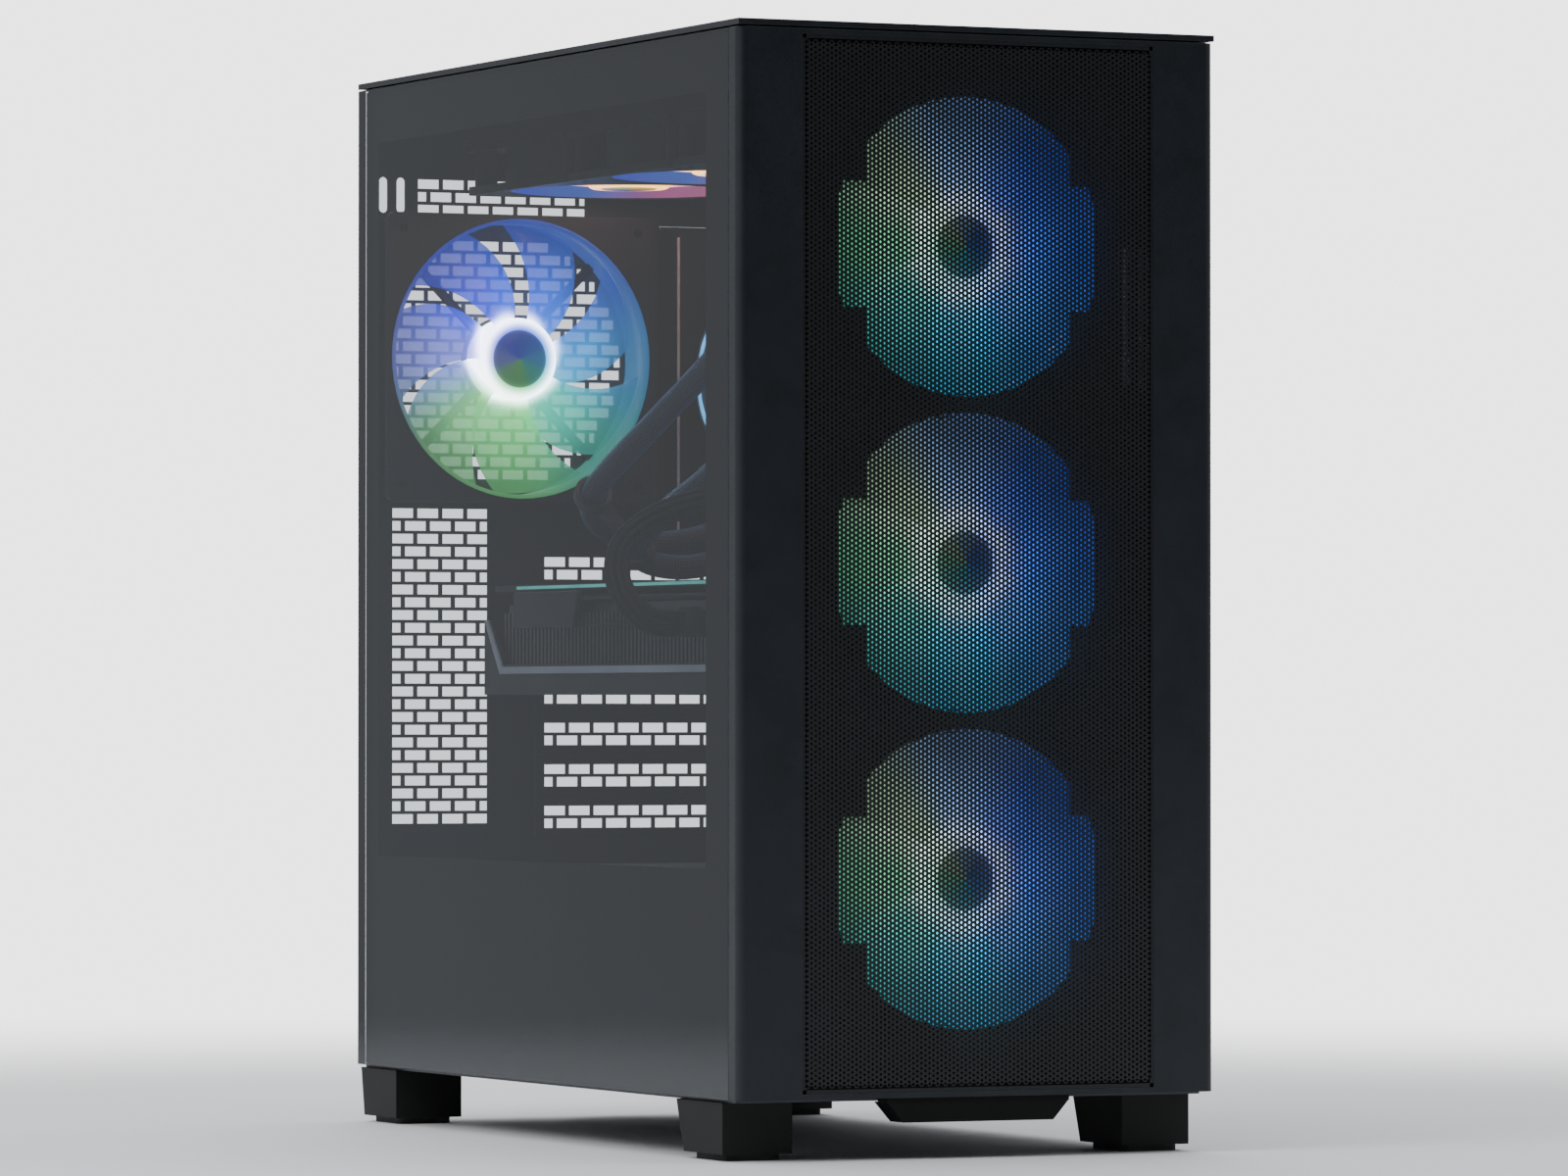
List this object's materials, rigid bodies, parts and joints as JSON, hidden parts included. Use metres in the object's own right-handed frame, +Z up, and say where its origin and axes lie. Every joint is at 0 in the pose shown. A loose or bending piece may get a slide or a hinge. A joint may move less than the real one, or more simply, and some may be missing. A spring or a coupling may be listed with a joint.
{
  "type": "desktop computer tower",
  "caption": "Mid-tower desktop computer with a glass side, perforated front, lit fans, liquid cooler, graphics card and power supply.",
  "frame": {"origin": "on the floor, at the middle of the whole footprint, under the foot pads", "axes": "+Z up; -Y towards the perforated front; -X towards the glass side; +Y towards the rear wall"},
  "size_m": [0.236, 0.45, 0.503],
  "materials": {
    "chassis_steel": "matt black powder coat on folded steel",
    "panel_steel": "fine-textured blue-black powder coat",
    "mesh_steel": "fine perforated steel, matt black powder coat",
    "tinted_glass": "grey tinted tempered glass with a printed black border",
    "black_plastic": "moulded matt black plastic",
    "dark_grey_plastic": "moulded dark grey plastic",
    "pad_rubber": "soft black rubber",
    "fan_frame": "moulded black plastic",
    "fan_blades": "frosted translucent plastic lit from the hub",
    "cooler_blades": "moulded black plastic",
    "screw_steel": "zinc plated steel",
    "black_screw": "black zinc plated steel",
    "circuit_board": "black solder mask over glass fibre",
    "heatsink_dark": "dark anodised aluminium",
    "heatsink_fins": "bare aluminium fins",
    "connector_plastic": "moulded connector plastic",
    "port_metal": "plated connector shells",
    "trim_metal": "satin silver aluminium",
    "hose_sleeve": "black braided sleeve over rubber hose",
    "cable_sleeve": "black sleeved copper wires",
    "radiator_paint": "black painted aluminium",
    "psu_paint": "matt black paint on steel"
  },
  "bodies": {
    "chassis": {"rear_panel": "chassis_steel", "bottom_pan": "chassis_steel", "top_frame": "chassis_steel", "motherboard_tray": "chassis_steel", "front_chassis_plate": "chassis_steel", "psu_shroud": "chassis_steel", "side_rails": "chassis_steel", "feet": "dark_grey_plastic", "foot_pads": "pad_rubber", "slot_covers": "chassis_steel", "chassis_fasteners": "screw_steel", "motherboard": "circuit_board", "io_shield": "port_metal", "io_ports": "port_metal", "io_cover": "heatsink_dark", "board_heatsinks": "heatsink_dark", "memory_modules": "heatsink_dark", "board_sockets": "connector_plastic", "cpu_pump": "dark_grey_plastic", "coolant_hose_upper": "hose_sleeve", "coolant_hose_lower": "hose_sleeve", "hose_clip": "black_plastic", "radiator": "radiator_paint", "radiator_fan_frames": "fan_frame", "rear_fan_frame": "fan_frame", "front_fan_frames": "fan_frame", "gpu_board": "circuit_board", "gpu_bracket": "port_metal", "gpu_backplate": "heatsink_dark", "gpu_heatsink": "heatsink_fins", "gpu_shroud": "dark_grey_plastic", "gpu_trim": "trim_metal", "gpu_power_cable": "cable_sleeve", "board_power_cable": "cable_sleeve", "psu_case": "psu_paint", "psu_inlet": "connector_plastic", "top_ports": "black_plastic"},
    "radiator_fan_rear_rotor": {"radiator_fan_rear": "fan_blades"},
    "radiator_fan_middle_rotor": {"radiator_fan_middle": "fan_blades"},
    "radiator_fan_front_rotor": {"radiator_fan_front": "fan_blades"},
    "rear_fan_blades": {"rear_fan_rotor": "fan_blades"},
    "front_fan_top_rotor": {"front_fan_top": "fan_blades"},
    "front_fan_middle_rotor": {"front_fan_middle": "fan_blades"},
    "front_fan_bottom_rotor": {"front_fan_bottom": "fan_blades"},
    "gpu_fan_rear_rotor": {"gpu_fan_rear": "cooler_blades"},
    "gpu_fan_middle_rotor": {"gpu_fan_middle": "cooler_blades"},
    "gpu_fan_front_rotor": {"gpu_fan_front": "cooler_blades"},
    "psu_fan_blades": {"psu_fan_rotor": "cooler_blades"},
    "mains_rocker": {"psu_switch": "connector_plastic"},
    "front_cover": {"front_panel": "panel_steel", "front_inner_frame": "black_plastic", "front_mesh": "mesh_steel"},
    "glass_side": {"glass_pane": "tinted_glass", "glass_hangers": "chassis_steel"},
    "steel_side": {"steel_side_panel": "panel_steel"},
    "upper_thumbscrew": {"thumbscrew_upper": "black_screw"},
    "lower_thumbscrew": {"thumbscrew_lower": "black_screw"},
    "top_cover": {"top_panel": "panel_steel"},
    "dust_filter": {"psu_dust_filter": "black_plastic"},
    "start_button": {"power_button": "dark_grey_plastic"}
  },
  "joints": [
    {"name": "front_fan_bottom_spin", "type": "hinge", "parent": "chassis", "child": "front_fan_bottom_rotor", "pos_m": [0, -0.2, 0.1237], "axis": [0, -1, 0], "continuous": true},
    {"name": "front_fan_middle_spin", "type": "hinge", "parent": "chassis", "child": "front_fan_middle_rotor", "pos_m": [0, -0.2, 0.2647], "axis": [0, -1, 0], "continuous": true},
    {"name": "front_fan_top_spin", "type": "hinge", "parent": "chassis", "child": "front_fan_top_rotor", "pos_m": [0, -0.2, 0.4057], "axis": [0, -1, 0], "continuous": true},
    {"name": "rear_fan_spin", "type": "hinge", "parent": "chassis", "child": "rear_fan_blades", "pos_m": [-0.043, 0.2, 0.37], "axis": [0, -1, 0], "continuous": true},
    {"name": "radiator_fan_rear_spin", "type": "hinge", "parent": "chassis", "child": "radiator_fan_rear_rotor", "pos_m": [-0.007, 0.141, 0.4619], "axis": [0, 0, -1], "continuous": true},
    {"name": "radiator_fan_middle_spin", "type": "hinge", "parent": "chassis", "child": "radiator_fan_middle_rotor", "pos_m": [-0.007, 0.021, 0.4619], "axis": [0, 0, -1], "continuous": true},
    {"name": "radiator_fan_front_spin", "type": "hinge", "parent": "chassis", "child": "radiator_fan_front_rotor", "pos_m": [-0.007, -0.099, 0.4619], "axis": [0, 0, -1], "continuous": true},
    {"name": "gpu_fan_rear_spin", "type": "hinge", "parent": "chassis", "child": "gpu_fan_rear_rotor", "pos_m": [0.005, 0.1608, 0.212], "axis": [0, 0, 1], "continuous": true},
    {"name": "gpu_fan_middle_spin", "type": "hinge", "parent": "chassis", "child": "gpu_fan_middle_rotor", "pos_m": [0.005, 0.0678, 0.212], "axis": [0, 0, 1], "continuous": true},
    {"name": "gpu_fan_front_spin", "type": "hinge", "parent": "chassis", "child": "gpu_fan_front_rotor", "pos_m": [0.005, -0.0252, 0.212], "axis": [0, 0, 1], "continuous": true},
    {"name": "psu_fan_spin", "type": "hinge", "parent": "chassis", "child": "psu_fan_blades", "pos_m": [0.015, 0.1398, 0.0374], "axis": [0, 0, 1], "continuous": true},
    {"name": "mains_rocker_tilt", "type": "hinge", "parent": "chassis", "child": "mains_rocker", "pos_m": [0.006, 0.2088, 0.0874], "axis": [1, 0, 0], "range_deg": [0, 18]},
    {"name": "power_button_press", "type": "slide", "parent": "chassis", "child": "start_button", "axis": [0, 0, -1], "range_m": [0, 0.0015], "stiffness_N_per_m": 300},
    {"name": "front_cover_pull", "type": "slide", "parent": "chassis", "child": "front_cover", "axis": [0, -1, 0], "range_m": [0, 0.12]},
    {"name": "glass_side_pull", "type": "slide", "parent": "chassis", "child": "glass_side", "axis": [-1, 0, 0], "range_m": [0, 0.15]},
    {"name": "steel_side_slide", "type": "slide", "parent": "chassis", "child": "steel_side", "axis": [0, 1, 0], "range_m": [0, 0.018]},
    {"name": "upper_thumbscrew_turn", "type": "hinge", "parent": "steel_side", "child": "upper_thumbscrew", "pos_m": [0.11, 0.22, 0.433], "axis": [0, 1, 0], "continuous": true},
    {"name": "lower_thumbscrew_turn", "type": "hinge", "parent": "steel_side", "child": "lower_thumbscrew", "pos_m": [0.11, 0.22, 0.07], "axis": [0, 1, 0], "continuous": true},
    {"name": "top_cover_lift", "type": "slide", "parent": "chassis", "child": "top_cover", "axis": [0, 0, 1], "range_m": [0, 0.08]},
    {"name": "dust_filter_slide", "type": "slide", "parent": "chassis", "child": "dust_filter", "axis": [0, 1, 0], "range_m": [0, 0.19]}
  ]
}
